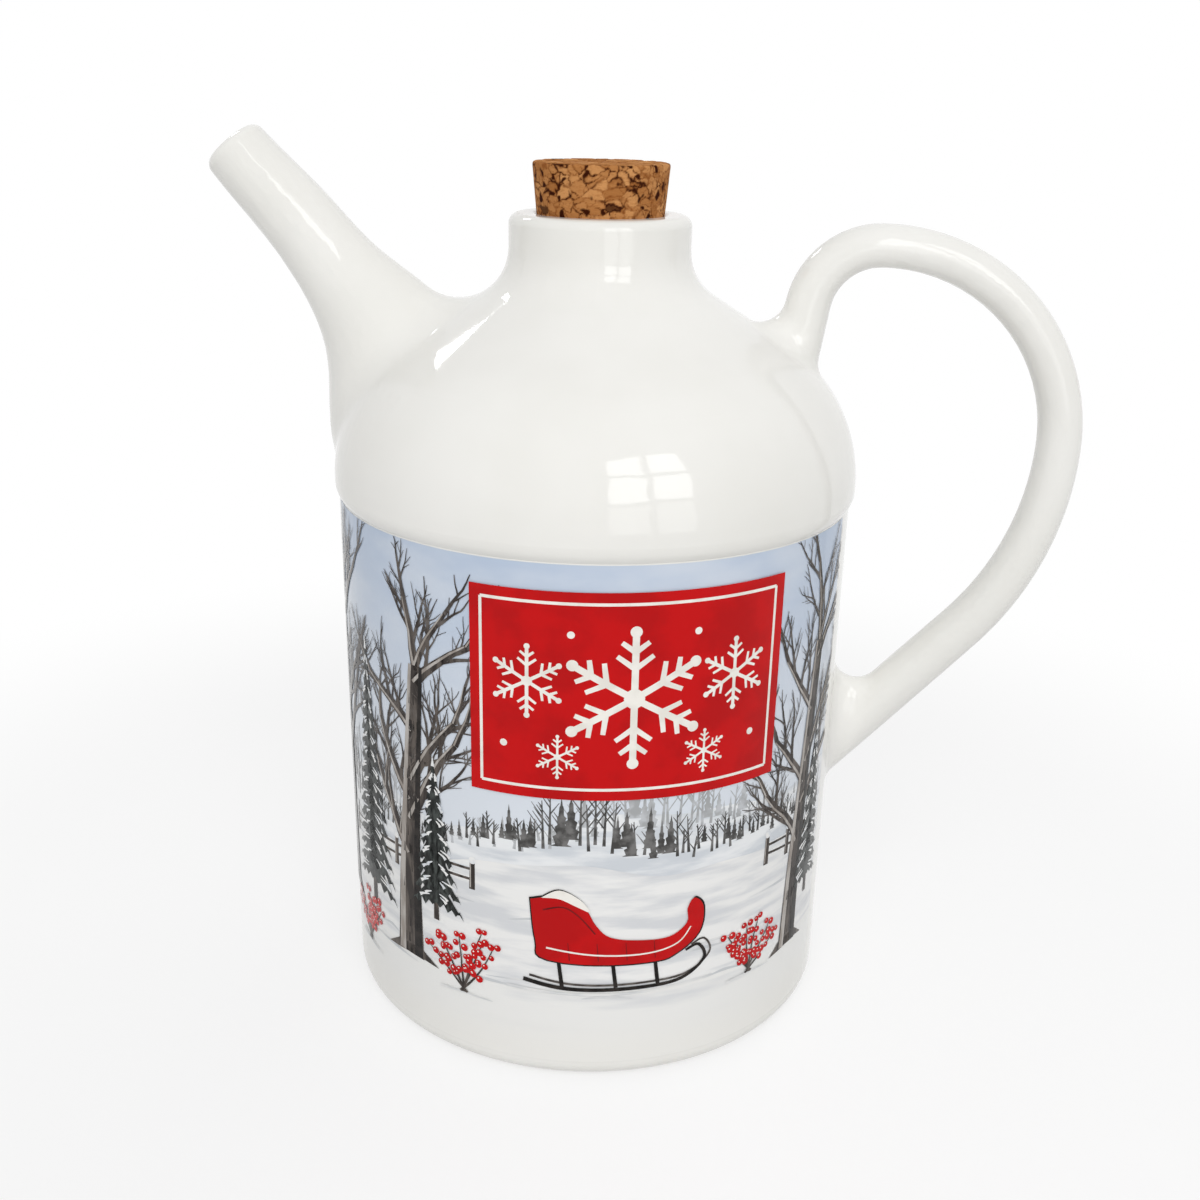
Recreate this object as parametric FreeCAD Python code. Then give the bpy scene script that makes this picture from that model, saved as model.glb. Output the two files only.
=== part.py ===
import FreeCAD, Part
import math
import os
from FreeCAD import Vector

# Ceramic syrup jug: a thin-walled body with a rounded shoulder, a short neck
# closed by a tapered cork, a side spout and a looped handle.
#
# Millimetres, +Z up. The origin is the centre of the foot, on the surface that
# the jug stands on. The spout points to -X and the handle to +X.

# --- driving dimensions ------------------------------------------------------

# body
FOOT_RADIUS = 40.0          # outer radius just above the foot
BODY_DRAFT = 0.4            # growth of that radius from the foot to the shoulder
BODY_HEIGHT = 84.0          # height of the straight side
FOOT_ROUND = 2.6            # round between underside and side
FOOT_RING = 7.0             # width of the ring that the jug stands on
FOOT_RECESS = 1.2           # depth of the underside inside that ring
WALL = 4.0
FLOOR = 5.0                 # from the standing plane to the inside
FLOOR_ROUND = 7.0           # round between the floor and the wall inside

# shoulder
SHOULDER_PROUD = 0.75       # how far the shoulder swells past the side
SHOULDER_ROLL = 3.4         # radius of the swell's lower edge
SHOULDER_BAND = 0.3         # upright stretch above that edge
SHOULDER_RADIUS = 24.0      # radius of the shoulder's round in section
SHOULDER_TURN = 58.0        # degrees that the round turns towards the axis

# neck
NECK_RADIUS = 13.9
NECK_FLARE = 8.0            # radius of the flare from the shoulder to the neck
NECK_HEIGHT = 5.1           # from the end of the flare to the rim
LIP_ROUND = 1.6             # round of the rim's outer edge
MOUTH_ROUND = 0.7           # round of the rim's inner edge

# cork
CORK_SEAT_RADIUS = 9.75     # radius at the rim's height
CORK_TAPER = 0.09           # radius gained for each unit of height
CORK_PROUD = 7.45           # height that stands out of the neck
CORK_LENGTH = 20.0
CORK_ROUND = 0.5
CORK_CLEARANCE = 0.05       # between the cork and the bore, all round

# spout: its round sections from the root to the tip, each as the distance of the
# centre beyond the foot radius, its height above the straight side, and the radius
SPOUT_STATIONS = (
    (-15.6, 4.0, 16.2),
    (-10.0, 14.4, 13.2),
    (-6.2, 24.1, 10.0),
    (-0.3, 31.9, 6.9),
    (4.9, 38.6, 5.9),
    (10.8, 45.2, 5.4),
    (16.2, 51.3, 5.0),
)
SPOUT_TIP_WALL = 1.9
SPOUT_LIP_ROUND = 1.6
SPOUT_BLEND = 8.0           # fillet between the spout and the shoulder
SPOUT_BLEND_LIMIT = 3.0     # the shoulder's radius is at least this many times it

# handle: a round rod on straight runs and tangent arcs in the plane y = 0
HANDLE_APEX_OUT = 2.6       # the top of the loop, beyond the foot radius
HANDLE_APEX_UP = 38.7       # and above the straight side
HANDLE_INNER_ARC = 10.8     # from the apex down to the shoulder
HANDLE_INNER_TURN = 80.0
HANDLE_OUTER_ARC = 29.5     # from the apex to the furthest point
HANDLE_LOWER_ARC = 46.0     # from there to the lower run
HANDLE_LOWER_TURN = 42.5
HANDLE_TOP_RUN = 12.0       # straight run into the shoulder
HANDLE_ROOT_DEPTH = 8.0     # how far the lower run passes the body's surface
HANDLE_RADIUS_SHOULDER = 3.7
HANDLE_RADIUS_APEX = 3.25
HANDLE_RADIUS_OUTER = 3.4
HANDLE_RADIUS_BODY = 3.9
HANDLE_BLEND = 4.0          # fillet where the handle meets the jug


# --- helpers -----------------------------------------------------------------

def at(r, z):
    """Return the point of the plane y = 0 at radius r and height z."""
    return Vector(r, 0.0, z)


def on_circle(centre, radius, degrees):
    """Return a point on a circle in the plane y = 0, with 0 degrees along +X."""
    turn = math.radians(degrees)
    return centre + at(radius * math.cos(turn), radius * math.sin(turn))


def line(start, end):
    """Return the straight edge between two points."""
    return Part.LineSegment(start, end).toShape()


def arc(centre, radius, first, last):
    """Return the arc between two angles, in degrees, in the plane y = 0."""
    middle = (first + last) / 2.0
    points = [on_circle(centre, radius, a) for a in (first, middle, last)]
    return Part.Arc(*points).toShape()


def ring(centre, along, radius):
    """Return a circle square to a direction, as a wire."""
    return Part.Wire(Part.Circle(centre, along, radius).toShape())


def turned(edges):
    """Return the solid that a closed outline makes when turned about Z."""
    face = Part.Face(Part.Wire(edges))
    return face.revolve(Vector(0, 0, 0), Vector(0, 0, 1), 360.0)


def blended(whole, first, second, radius):
    """Return whole with a fillet along the seam of the two shapes fused in it."""
    seam = []
    for edge in whole.Edges:
        middle = edge.valueAt((edge.FirstParameter + edge.LastParameter) / 2.0)
        spot = Part.Vertex(middle)
        if all(spot.distToShape(skin)[0] < 1e-3 for skin in (first, second)):
            seam.append(edge)
    return whole.makeFillet(radius, seam)


# --- body and neck -----------------------------------------------------------

body_top_radius = FOOT_RADIUS + BODY_DRAFT
shoulder_outer = body_top_radius + SHOULDER_PROUD
roll_turn = math.degrees(math.acos(1.0 - SHOULDER_PROUD / SHOULDER_ROLL))
roll_z = BODY_HEIGHT + SHOULDER_ROLL * math.sin(math.radians(roll_turn))
shoulder_z = roll_z + SHOULDER_BAND
shoulder_centre = at(shoulder_outer - SHOULDER_RADIUS, shoulder_z)
slope = math.tan(math.radians(90.0 - SHOULDER_TURN))
flare_tangent = NECK_FLARE * math.tan(math.radians(SHOULDER_TURN / 2.0))


def cone_height(round_radius, radius):
    """Return the height at a radius on the cone that a shoulder round leads to."""
    foot = on_circle(shoulder_centre, round_radius, SHOULDER_TURN)
    return foot.z + (foot.x - radius) * slope


flare_top = cone_height(SHOULDER_RADIUS, NECK_RADIUS) + flare_tangent
neck_top = flare_top + NECK_HEIGHT


def cork_radius(z):
    """Return the cork's radius at a height."""
    return CORK_SEAT_RADIUS + (z - neck_top) * CORK_TAPER


def make_outer_body():
    """Return the solid inside the jug's outer surface, without its underside recess."""
    roll_centre = at(shoulder_outer - SHOULDER_ROLL, roll_z)
    cone_foot = on_circle(shoulder_centre, SHOULDER_RADIUS, SHOULDER_TURN)
    flare_centre = at(NECK_RADIUS + NECK_FLARE, flare_top)
    cone_end = on_circle(flare_centre, NECK_FLARE, 180.0 + SHOULDER_TURN)
    lip_centre = at(NECK_RADIUS - LIP_ROUND, neck_top - LIP_ROUND)
    return turned([
        line(at(0, 0), at(FOOT_RADIUS - FOOT_ROUND, 0)),
        arc(at(FOOT_RADIUS - FOOT_ROUND, FOOT_ROUND), FOOT_ROUND, -90, 0),
        line(at(FOOT_RADIUS, FOOT_ROUND), at(body_top_radius, BODY_HEIGHT)),
        arc(roll_centre, SHOULDER_ROLL, -roll_turn, 0),
        line(at(shoulder_outer, roll_z), at(shoulder_outer, shoulder_z)),
        arc(shoulder_centre, SHOULDER_RADIUS, 0, SHOULDER_TURN),
        line(cone_foot, cone_end),
        arc(flare_centre, NECK_FLARE, 180.0 + SHOULDER_TURN, 180.0),
        line(at(NECK_RADIUS, flare_centre.z), at(NECK_RADIUS, lip_centre.z)),
        arc(lip_centre, LIP_ROUND, 0, 90),
        line(at(lip_centre.x, neck_top), at(0, neck_top)),
        line(at(0, neck_top), at(0, 0)),
    ])


def make_cavity():
    """Return the space inside the body and the neck, up to the rim."""
    inner = FOOT_RADIUS - WALL
    inner_round = SHOULDER_RADIUS - WALL
    inner_top = body_top_radius - WALL
    start = at(shoulder_outer - WALL, shoulder_z)
    cone_foot = on_circle(shoulder_centre, inner_round, SHOULDER_TURN)
    cone_tip = cone_height(inner_round, 0.0)
    bore_foot = (cork_radius(cone_tip) + CORK_CLEARANCE) / (1.0 + slope * CORK_TAPER)
    bore_foot_z = cone_height(inner_round, bore_foot)
    mouth = cork_radius(neck_top - MOUTH_ROUND) + CORK_CLEARANCE
    mouth_centre = at(mouth + MOUTH_ROUND, neck_top - MOUTH_ROUND)
    return turned([
        line(at(0, FLOOR), at(inner - FLOOR_ROUND, FLOOR)),
        arc(at(inner - FLOOR_ROUND, FLOOR + FLOOR_ROUND), FLOOR_ROUND, -90, 0),
        line(at(inner, FLOOR + FLOOR_ROUND), at(inner_top, BODY_HEIGHT)),
        line(at(inner_top, BODY_HEIGHT), start),
        arc(shoulder_centre, inner_round, 0, SHOULDER_TURN),
        line(cone_foot, at(bore_foot, bore_foot_z)),
        line(at(bore_foot, bore_foot_z), at(mouth, mouth_centre.z)),
        arc(mouth_centre, MOUTH_ROUND, 180, 90),
        line(at(mouth_centre.x, neck_top), at(0, neck_top)),
        line(at(0, neck_top), at(0, FLOOR)),
    ])


def make_foot_recess():
    """Return the shallow round recess in the underside."""
    radius = FOOT_RADIUS - FOOT_ROUND - FOOT_RING
    return Part.makeCone(radius, radius - FOOT_RECESS, FOOT_RECESS)


# --- spout -------------------------------------------------------------------

spout_blend = min(SPOUT_BLEND, SHOULDER_RADIUS / SPOUT_BLEND_LIMIT)


def spout_sections():
    """Return the centre, direction and outer radius of each section of the spout."""
    centres = [at(-FOOT_RADIUS - out, BODY_HEIGHT + up) for out, up, radius in SPOUT_STATIONS]
    curve = Part.BSplineCurve()
    curve.interpolate(centres)
    ways = [curve.tangent(curve.parameter(centre))[0] for centre in centres]
    return list(zip(centres, ways, [radius for out, up, radius in SPOUT_STATIONS]))


def make_spout():
    """Return the solid inside the spout's outer surface."""
    return Part.makeLoft([ring(*section) for section in spout_sections()], True, False)


def make_spout_bore():
    """Return the spout's inside, which runs on past the tip."""
    sections = spout_sections()
    last = len(sections) - 1
    rings = []
    for index, (centre, along, radius) in enumerate(sections):
        wall = WALL + (SPOUT_TIP_WALL - WALL) * index / last
        rings.append(ring(centre, along, radius - wall))
    rings.append(ring(centre + along * WALL, along, radius - wall))
    return Part.makeLoft(rings, True, False)


def round_spout_lip(jug):
    """Return the uncut jug with the edge of the spout's tip rounded."""
    tip, along, radius = spout_sections()[-1]
    rim = []
    for edge in jug.Edges:
        points = edge.discretize(9)
        if all(abs((point - tip).dot(along)) < 1e-3 for point in points):
            rim.append(edge)
    return jug.makeFillet(SPOUT_LIP_ROUND, rim)


# --- handle ------------------------------------------------------------------

def make_handle():
    """Return the rod of the handle, from inside the shoulder to inside the body."""
    apex = at(FOOT_RADIUS + HANDLE_APEX_OUT, BODY_HEIGHT + HANDLE_APEX_UP)
    inner_centre = apex - at(0, HANDLE_INNER_ARC)
    outer_centre = apex - at(0, HANDLE_OUTER_ARC)
    furthest = outer_centre + at(HANDLE_OUTER_ARC, 0)
    lower_centre = furthest - at(HANDLE_LOWER_ARC, 0)
    inner_end = on_circle(inner_centre, HANDLE_INNER_ARC, 90.0 + HANDLE_INNER_TURN)
    lower_end = on_circle(lower_centre, HANDLE_LOWER_ARC, -HANDLE_LOWER_TURN)

    steep = math.radians(HANDLE_INNER_TURN)
    into_shoulder = at(-math.cos(steep), -math.sin(steep))
    shallow = math.radians(90.0 - HANDLE_LOWER_TURN)
    into_body = at(-math.cos(shallow), -math.sin(shallow))
    to_surface = (lower_end.x - FOOT_RADIUS) / math.cos(shallow)
    top_start = inner_end + into_shoulder * HANDLE_TOP_RUN
    bottom_end = lower_end + into_body * (to_surface + HANDLE_ROOT_DEPTH)

    path = Part.Wire([
        line(top_start, inner_end),
        arc(inner_centre, HANDLE_INNER_ARC, 90.0 + HANDLE_INNER_TURN, 90.0),
        arc(outer_centre, HANDLE_OUTER_ARC, 90.0, 0.0),
        arc(lower_centre, HANDLE_LOWER_ARC, 0.0, -HANDLE_LOWER_TURN),
        line(lower_end, bottom_end),
    ])
    rod = Part.BRepOffsetAPI.MakePipeShell(path)
    for centre, along, radius in (
        (top_start, into_shoulder, HANDLE_RADIUS_SHOULDER),
        (apex, at(1, 0), HANDLE_RADIUS_APEX),
        (furthest, at(0, 1), HANDLE_RADIUS_OUTER),
        (bottom_end, into_body, HANDLE_RADIUS_BODY),
    ):
        rod.add(ring(centre, along, radius))
    rod.build()
    rod.makeSolid()
    return rod.shape()


# --- pieces ------------------------------------------------------------------

def make_jug():
    """Return the whole fired jug as one solid."""
    body = make_outer_body()
    spout = make_spout()
    jug = blended(body.fuse(spout), body, spout, spout_blend)
    handle = make_handle()
    joined = jug.fuse(handle)
    jug = blended(joined, jug, handle, HANDLE_BLEND)
    jug = round_spout_lip(jug)
    cavity = make_cavity()
    print("capacity to the rim, ml", round(cavity.Volume / 1000.0, 1))
    return jug.cut(cavity.fuse(make_spout_bore())).cut(make_foot_recess())


def make_cork():
    """Return the tapered cork, seated in the neck."""
    top = neck_top + CORK_PROUD
    bottom = top - CORK_LENGTH
    cork = Part.makeCone(cork_radius(bottom), cork_radius(top), CORK_LENGTH,
                         at(0, bottom))
    rims = [edge for edge in cork.Edges if edge.isClosed() and edge.Length > 1.0]
    return cork.makeFillet(CORK_ROUND, rims)


def main():
    """Write one STEP file for each piece."""
    os.makedirs("parts", exist_ok=True)
    for name, make in (("jug", make_jug), ("cork", make_cork)):
        shape = make()
        solid = shape.Solids[0]
        print(name, "solids", len(shape.Solids), "valid", solid.isValid(),
              "volume, cm3", round(solid.Volume / 1000.0, 2))
        solid.exportStep("parts/%s.step" % name)


main()
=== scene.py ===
"""Looks of the ceramic syrup jug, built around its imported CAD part.

Metres, +Z up, in the part's own frame: the foot stands on z = 0, the spout points
to -X and the handle to +X. Sizes written with MM are millimetres.
"""
import logging
import math
import random
from dataclasses import dataclass, field
from enum import Enum

import bpy
import numpy as np
from mathutils import Matrix, Vector, noise
from mathutils.kdtree import KDTree


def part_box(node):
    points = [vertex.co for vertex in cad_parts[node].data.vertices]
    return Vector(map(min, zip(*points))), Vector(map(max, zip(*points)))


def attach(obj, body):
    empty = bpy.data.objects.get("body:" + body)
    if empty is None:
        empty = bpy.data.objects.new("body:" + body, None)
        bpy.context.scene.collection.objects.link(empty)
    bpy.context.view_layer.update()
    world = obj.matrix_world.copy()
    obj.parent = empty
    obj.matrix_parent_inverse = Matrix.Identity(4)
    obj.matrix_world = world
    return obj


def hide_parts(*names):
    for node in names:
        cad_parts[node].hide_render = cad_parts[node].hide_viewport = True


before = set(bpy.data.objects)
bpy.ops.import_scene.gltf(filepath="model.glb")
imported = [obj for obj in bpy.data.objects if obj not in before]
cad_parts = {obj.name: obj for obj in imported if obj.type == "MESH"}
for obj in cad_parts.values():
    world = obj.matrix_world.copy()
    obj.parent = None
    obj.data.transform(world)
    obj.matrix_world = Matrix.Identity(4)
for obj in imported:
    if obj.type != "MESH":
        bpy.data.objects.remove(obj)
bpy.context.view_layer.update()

MM = 0.001
GLAZE_IOR = 1.55
GLAZE_WAVES = 55.0          # slow waves in the glaze, for each metre
GLAZE_WAVE_DEPTH = 0.16 * MM
LOG = logging.getLogger("jug")
Point = tuple[float, float]
Outline = list[Point]
Colour = tuple[float, float, float]


# --- shared tools ------------------------------------------------------------

def srgb(red: int, green: int, blue: int) -> Colour:
    """Return the linear colour of three screen values from 0 to 255."""
    parts = [value / 255.0 for value in (red, green, blue)]
    return tuple(p / 12.92 if p <= 0.04045 else ((p + 0.055) / 1.055) ** 2.4 for p in parts)


def deselect() -> None:
    """Leave nothing selected and no active object."""
    bpy.ops.object.select_all(action="DESELECT")
    bpy.context.view_layer.objects.active = None


def pick(piece: bpy.types.Object) -> None:
    """Select one piece alone and make it active."""
    deselect()
    piece.select_set(True)
    bpy.context.view_layer.objects.active = piece


def add_mesh(name: str, points: list, faces: list) -> bpy.types.Object:
    """Add a mesh to the scene.

    Args:
        name: the piece's name.
        points: its corners, in metres.
        faces: the corner numbers of each face.

    Returns:
        The new object, at the origin.
    """
    mesh = bpy.data.meshes.new(name)
    mesh.from_pydata(points, [], faces)
    piece = bpy.data.objects.new(name, mesh)
    bpy.context.scene.collection.objects.link(piece)
    return piece


def apply_modifier(piece: bpy.types.Object, kind: str, **settings: object) -> None:
    """Add a modifier to a piece and apply it.

    Args:
        piece: the mesh object.
        kind: the modifier's type, such as "REMESH".
        settings: the modifier's own settings.
    """
    pick(piece)
    modifier = piece.modifiers.new(kind.title(), kind)
    for key, value in settings.items():
        setattr(modifier, key, value)
    bpy.ops.object.modifier_apply(modifier=modifier.name)


def positions(piece: bpy.types.Object) -> np.ndarray:
    """Return a piece's vertex positions as rows of x, y, z in metres."""
    flat = np.zeros(len(piece.data.vertices) * 3)
    piece.data.vertices.foreach_get("co", flat)
    return flat.reshape(-1, 3)


def set_positions(piece: bpy.types.Object, points: np.ndarray) -> None:
    """Write a piece's vertex positions, given as rows of x, y, z in metres."""
    piece.data.vertices.foreach_set("co", points.ravel())
    piece.data.update()


class Sheet:
    """A material's node tree, with short calls to add and join nodes."""

    def __init__(self, name: str) -> None:
        """Start an empty material.

        Args:
            name: the material's name.
        """
        self.material = bpy.data.materials.new(name)
        self.material.use_nodes = True
        self.tree = self.material.node_tree
        self.tree.nodes.clear()
        self.output = self.tree.nodes.new("ShaderNodeOutputMaterial")

    def node(self, kind: str, inputs: dict | None = None, **settings: object) -> bpy.types.Node:
        """Add a node.

        Args:
            kind: the node's type, without "ShaderNode".
            inputs: socket names or numbers, each with a value or a socket to join.
            settings: the node's own settings.

        Returns:
            The new node.
        """
        made = self.tree.nodes.new("ShaderNode" + kind)
        for key, value in settings.items():
            setattr(made, key, value)
        for key, value in (inputs or {}).items():
            if isinstance(value, bpy.types.NodeSocket):
                self.tree.links.new(value, made.inputs[key])
            else:
                made.inputs[key].default_value = value
        return made

    def math(self, kind: str, first: object, second: object = 0.0) -> bpy.types.NodeSocket:
        """Return the result of a Math node of two numbers or sockets."""
        return self.node("Math", {0: first, 1: second}, operation=kind).outputs[0]

    def ramp(self, value: object, low: float, high: float) -> bpy.types.NodeSocket:
        """Return a value that rises smoothly from 0 to 1 between two limits."""
        made = self.node("MapRange", {0: value, 1: low, 2: high}, interpolation_type="SMOOTHSTEP")
        return made.outputs[0]

    def mix(self, share: object, first: object, second: object) -> bpy.types.NodeSocket:
        """Return a mix of two colours.

        Args:
            share: how much of the second colour, from 0 to 1.
            first: a colour of three numbers, or a socket.
            second: a colour of three numbers, or a socket.

        Returns:
            The socket of the mixed colour.
        """
        pair = [(*c, 1.0) if isinstance(c, tuple) else c for c in (first, second)]
        made = self.node("Mix", {0: share, 6: pair[0], 7: pair[1]}, data_type="RGBA")
        return made.outputs[2]

    def place(self, stretch: Colour = (1.0, 1.0, 1.0)) -> bpy.types.NodeSocket:
        """Return the piece's Object coordinates, stretched."""
        source = self.node("TexCoord").outputs["Object"]
        return self.node("Mapping", {0: source, 3: stretch}).outputs[0]

    def cloud(self, place: bpy.types.NodeSocket, scale: float, detail: float = 3.0) -> bpy.types.NodeSocket:
        """Return soft noise from 0 to 1, with its scale in features for each metre."""
        made = self.node("TexNoise", {"Vector": place, "Scale": scale, "Detail": detail})
        return made.outputs[0]

    def bump(self, height: bpy.types.NodeSocket, depth: float) -> bpy.types.NodeSocket:
        """Return the normal of a surface with a relief of that depth in metres."""
        made = self.node("Bump", {"Height": height, "Distance": depth, "Strength": 1.0})
        return made.outputs[0]

    def waves(self) -> bpy.types.NodeSocket:
        """Return the height of the slow waves in a glaze, from 0 to 1."""
        return self.cloud(self.place(), GLAZE_WAVES, 1.0)

    def surface(self, colour: object, roughness: object, ior: float,
                normal: bpy.types.NodeSocket | None = None, shine: float = 0.5) -> bpy.types.Material:
        """Close the tree with a Principled shader.

        Args:
            colour: the base colour or its socket.
            roughness: a number or a socket.
            ior: the index of refraction.
            normal: the socket of a bumped normal, if any.
            shine: the specular level, where 0.5 is the full reflection of that index.

        Returns:
            The finished material.
        """
        tint = (*colour, 1.0) if isinstance(colour, tuple) else colour
        inputs = {"Base Color": tint, "Roughness": roughness, "IOR": ior, "Specular IOR Level": shine}
        if normal is not None:
            inputs["Normal"] = normal
        shader = self.node("BsdfPrincipled", inputs)
        self.tree.links.new(shader.outputs[0], self.output.inputs[0])
        return self.material


# --- finishes ----------------------------------------------------------------

@dataclass(frozen=True)
class GlazeFinish:
    """Warm white gloss glaze on fired clay, bare on the ring that the jug stands on."""

    white: Colour = srgb(239, 238, 234)
    pooled: Colour = srgb(234, 233, 228)
    speck: Colour = srgb(120, 104, 84)
    speck_size: float = 0.022
    clay: Colour = srgb(214, 203, 184)
    clay_dark: Colour = srgb(196, 182, 160)
    clay_rough: float = 0.6
    ring_low: float = 0.25 * MM
    ring_high: float = 0.5 * MM
    gloss: float = 0.06
    orange_peel: float = 0.05

    def material(self) -> bpy.types.Material:
        """Build the glaze on Object coordinates.

        Returns:
            The finished material.
        """
        sheet = Sheet("glaze")
        place = sheet.place()
        height = sheet.node("SeparateXYZ", {0: place}).outputs[2]
        thick = sheet.ramp(sheet.cloud(place, 38.0), 0.35, 0.7)
        colour = sheet.mix(thick, self.white, self.pooled)
        spots = sheet.node("TexVoronoi", {"Vector": place, "Scale": 70.0})
        dot = sheet.math("LESS_THAN", spots.outputs["Distance"], self.speck_size)
        rare = sheet.math("GREATER_THAN", sheet.cloud(place, 24.0, 0.0), 0.62)
        colour = sheet.mix(sheet.math("MULTIPLY", dot, rare), colour, self.speck)
        bare = sheet.math("SUBTRACT", 1.0, sheet.ramp(height, self.ring_low, self.ring_high))
        grain = sheet.mix(sheet.cloud(place, 2600.0), self.clay, self.clay_dark)
        colour = sheet.mix(bare, colour, grain)
        rough = sheet.math("ADD", sheet.math("MULTIPLY", bare, self.clay_rough), self.gloss)
        fine = sheet.math("MULTIPLY", sheet.cloud(place, 420.0, 2.0), self.orange_peel)
        normal = sheet.bump(sheet.math("ADD", sheet.waves(), fine), GLAZE_WAVE_DEPTH)
        return sheet.surface(colour, rough, GLAZE_IOR, normal)


@dataclass(frozen=True)
class InkFinish:
    """One printed colour under the glaze, with the unevenness of brushed ink."""

    name: str
    colour: Colour
    shade: Colour
    grain: float = 500.0
    stretch: Colour = (1.0, 1.0, 1.0)
    low: float = 0.4
    high: float = 0.65
    gloss: float = 0.1
    shine: float = 0.12

    def material(self) -> bpy.types.Material:
        """Build the ink on Object coordinates.

        Returns:
            The finished material.
        """
        sheet = Sheet("ink_" + self.name)
        patch = sheet.cloud(sheet.place(self.stretch), self.grain, 4.0)
        colour = sheet.mix(sheet.ramp(patch, self.low, self.high), self.colour, self.shade)
        normal = sheet.bump(sheet.waves(), GLAZE_WAVE_DEPTH)
        return sheet.surface(colour, self.gloss, GLAZE_IOR, normal, self.shine)


class Ink(Enum):
    """The printed colours."""

    WOODS_FAR = InkFinish("woods_far", srgb(168, 170, 172), srgb(196, 199, 203))
    WOODS_NEAR = InkFinish("woods_near", srgb(70, 69, 68), srgb(120, 119, 118))
    HILL_FAR = InkFinish("hill_far", srgb(236, 238, 240), srgb(208, 213, 219), 90.0, (1, 1, 5))
    HILL_NEAR = InkFinish("hill_near", srgb(240, 240, 239), srgb(216, 218, 221), 70.0, (1, 1, 6))
    DRIFT = InkFinish("drift", srgb(203, 206, 209), srgb(232, 232, 231), 120.0, (1, 1, 3))
    BARK = InkFinish("bark", srgb(54, 48, 45), srgb(98, 90, 84), 260.0, (3, 3, 0.6))
    BARK_LIGHT = InkFinish("bark_light", srgb(152, 144, 137), srgb(186, 181, 176), 300.0, (3, 3, 0.6))
    TWIG = InkFinish("twig", srgb(62, 56, 53), srgb(104, 98, 94))
    NEEDLES = InkFinish("needles", srgb(30, 33, 32), srgb(70, 75, 73), 700.0, (2, 2, 0.8))
    SNOW = InkFinish("snow", srgb(240, 240, 239), srgb(219, 223, 228), 500.0)
    RED = InkFinish("red", srgb(200, 4, 8), srgb(184, 3, 7), 160.0)
    RED_DARK = InkFinish("red_dark", srgb(120, 18, 20), srgb(92, 16, 18), 500.0)
    CREAM = InkFinish("cream", srgb(244, 241, 234), srgb(232, 228, 220), 300.0)
    LINE = InkFinish("line", srgb(22, 19, 18), srgb(48, 43, 40))


@dataclass(frozen=True)
class SkyFinish:
    """The print's washed ground: pale blue sky over snow that thins out to bare glaze."""

    zenith: Colour = srgb(186, 200, 220)
    horizon: Colour = srgb(220, 226, 234)
    snow: Colour = srgb(238, 238, 236)
    drift: Colour = srgb(214, 216, 219)
    fade_low: float = 4.0 * MM
    fade_high: float = 12.0 * MM
    drift_low: float = 7.0 * MM
    drift_high: float = 16.0 * MM
    snow_top: float = 34.0 * MM
    sky_foot: float = 42.0 * MM
    sky_top: float = 84.0 * MM
    gloss: float = 0.1
    shine: float = 0.2

    def material(self, glaze: GlazeFinish) -> bpy.types.Material:
        """Build the wash on Object coordinates.

        Args:
            glaze: the glaze that the snow thins out to.

        Returns:
            The finished material.
        """
        sheet = Sheet("ink_sky")
        place = sheet.place()
        height = sheet.node("SeparateXYZ", {0: place}).outputs[2]
        veil = sheet.ramp(sheet.cloud(sheet.place((1, 1, 2.2)), 42.0, 4.0), 0.42, 0.68)
        rise = sheet.ramp(height, self.sky_foot, self.sky_top)
        sky = sheet.mix(rise, self.horizon, self.zenith)
        sky = sheet.mix(sheet.math("MULTIPLY", veil, 0.55), sky, self.horizon)
        streak = sheet.ramp(sheet.cloud(sheet.place((1, 1, 7)), 34.0, 3.0), 0.52, 0.72)
        depth = sheet.math("MULTIPLY", streak, sheet.ramp(height, self.drift_low, self.drift_high))
        snow = sheet.mix(depth, self.snow, self.drift)
        colour = sheet.mix(sheet.ramp(height, self.snow_top, self.sky_foot), snow, sky)
        fade = sheet.ramp(height, self.fade_low, self.fade_high)
        colour = sheet.mix(fade, glaze.white, colour)
        normal = sheet.bump(sheet.waves(), GLAZE_WAVE_DEPTH)
        return sheet.surface(colour, self.gloss, GLAZE_IOR, normal, self.shine)


@dataclass(frozen=True)
class CorkFinish:
    """Agglomerated cork: pale tan granules with dark joints and bark flecks."""

    pale: Colour = srgb(210, 152, 96)
    deep: Colour = srgb(164, 106, 56)
    joint: Colour = srgb(120, 60, 16)
    bark: Colour = srgb(54, 17, 2)
    relief: float = 0.12 * MM
    roughness: float = 0.8
    ior: float = 1.4
    shine: float = 0.08

    def material(self) -> bpy.types.Material:
        """Build the cork, which reads the granule, joint and bark attributes.

        Returns:
            The finished material.
        """
        sheet = Sheet("cork")
        granule, joint, bark = (sheet.node("Attribute", attribute_name=name).outputs["Fac"]
                                for name in ("granule", "joint", "bark"))
        fibre = sheet.cloud(sheet.place((1, 1, 2.2)), 1500.0, 5.0)
        colour = sheet.mix(granule, self.pale, self.deep)
        colour = sheet.mix(sheet.math("MULTIPLY", sheet.ramp(fibre, 0.45, 0.7), 0.5), colour, self.deep)
        colour = sheet.mix(sheet.math("MULTIPLY", joint, 0.85), colour, self.joint)
        colour = sheet.mix(bark, colour, self.bark)
        normal = sheet.bump(fibre, self.relief)
        return sheet.surface(colour, self.roughness, self.ior, normal, self.shine)


# --- jug ---------------------------------------------------------------------

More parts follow.
